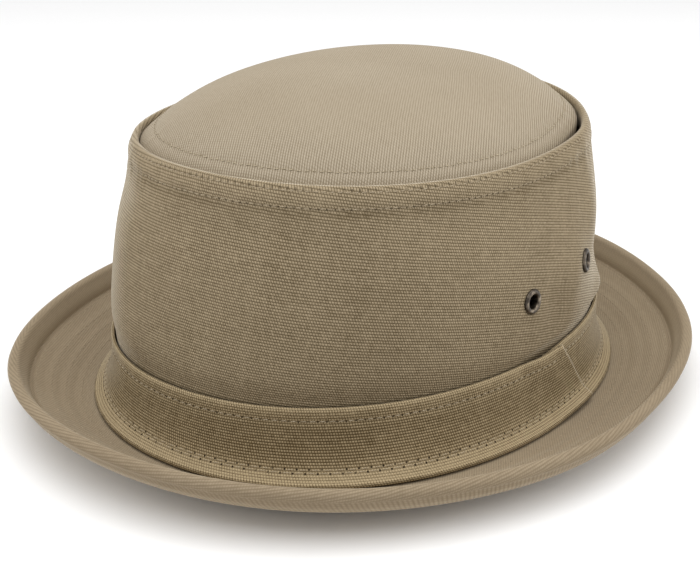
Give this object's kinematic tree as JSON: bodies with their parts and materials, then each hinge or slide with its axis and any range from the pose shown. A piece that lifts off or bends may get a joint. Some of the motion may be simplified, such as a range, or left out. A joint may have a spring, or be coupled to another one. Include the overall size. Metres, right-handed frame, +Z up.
{
  "type": "stingy brim hat",
  "caption": "Cloth hat with a narrow brim turned up all round, a crown with a puffed top inside its folded rim, a lapped hat band and metal vent eyelets.",
  "frame": {"origin": "on the surface that the hat rests on, under the middle of its outline seen from above", "axes": "+Z up, -Y the front of the hat, +X the wearer's left, where the hat band laps"},
  "size_m": [0.2454, 0.285, 0.1189],
  "materials": {
    "brim_twill": "matte khaki cotton twill",
    "crown_canvas": "matte khaki ribbed cotton canvas",
    "top_twill": "matte khaki cotton twill",
    "band_canvas": "matte darker khaki ribbed cotton canvas",
    "eyelet_metal": "dark antiqued brass, satin"
  },
  "bodies": {
    "root": {"brim": "brim_twill", "crown_wall": "crown_canvas", "crown_top": "top_twill", "hat_band": "band_canvas", "eyelet_left_front": "eyelet_metal", "eyelet_left_back": "eyelet_metal", "eyelet_right_front": "eyelet_metal", "eyelet_right_back": "eyelet_metal"}
  },
  "joints": []
}
